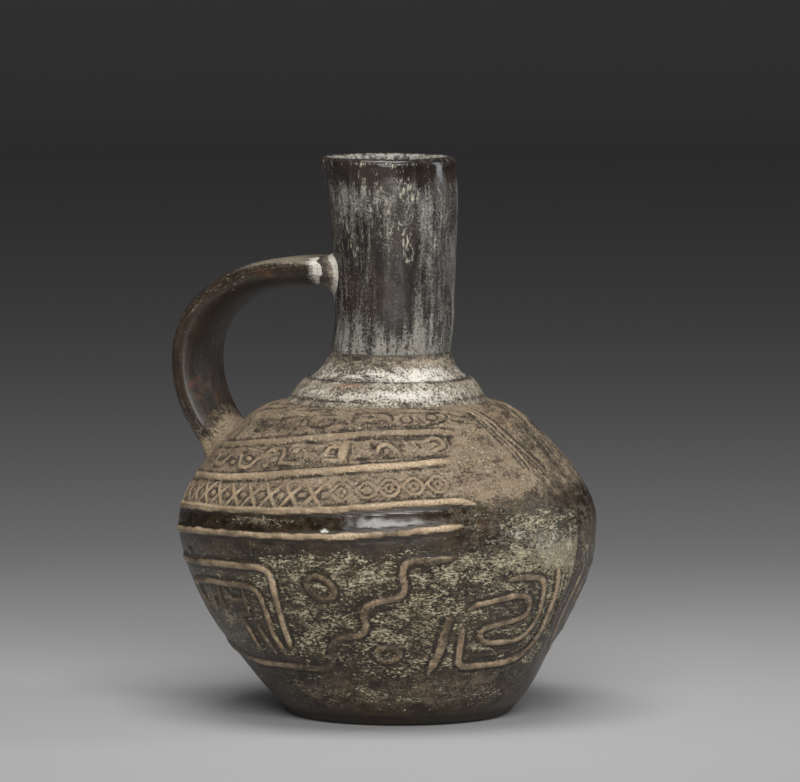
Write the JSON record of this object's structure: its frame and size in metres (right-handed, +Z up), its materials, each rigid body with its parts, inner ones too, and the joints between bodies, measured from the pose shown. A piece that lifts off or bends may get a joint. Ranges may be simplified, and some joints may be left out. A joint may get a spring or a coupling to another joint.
{
  "type": "blackware bottle",
  "caption": "Press-moulded blackware bottle: round body from two mould halves, tall tubular neck, wide strap handle and a flat base.",
  "frame": {"origin": "middle of the flat underside, on the surface that the bottle stands on", "axes": "+Z up to the mouth, -X towards the handle; the plane Y = 0 is the seam of the two mould halves, and -Y is the front"},
  "size_m": [0.1558, 0.152, 0.2],
  "materials": {
    "relief_blackware": "satin",
    "burnished_blackware": "burnished",
    "luting_clay": "matte",
    "raw_clay": "matte"
  },
  "bodies": {
    "root": {"body_front_half": "relief_blackware", "body_back_half": "relief_blackware", "base_disc": "raw_clay", "inner_seam_strip_handle_side": "raw_clay", "inner_seam_strip_far_side": "raw_clay", "shoulder_ring": "relief_blackware", "neck_foot_fillet": "luting_clay", "neck_tube": "burnished_blackware", "handle_strap": "burnished_blackware", "handle_upper_luting": "luting_clay", "handle_lower_luting": "relief_blackware"}
  },
  "joints": []
}
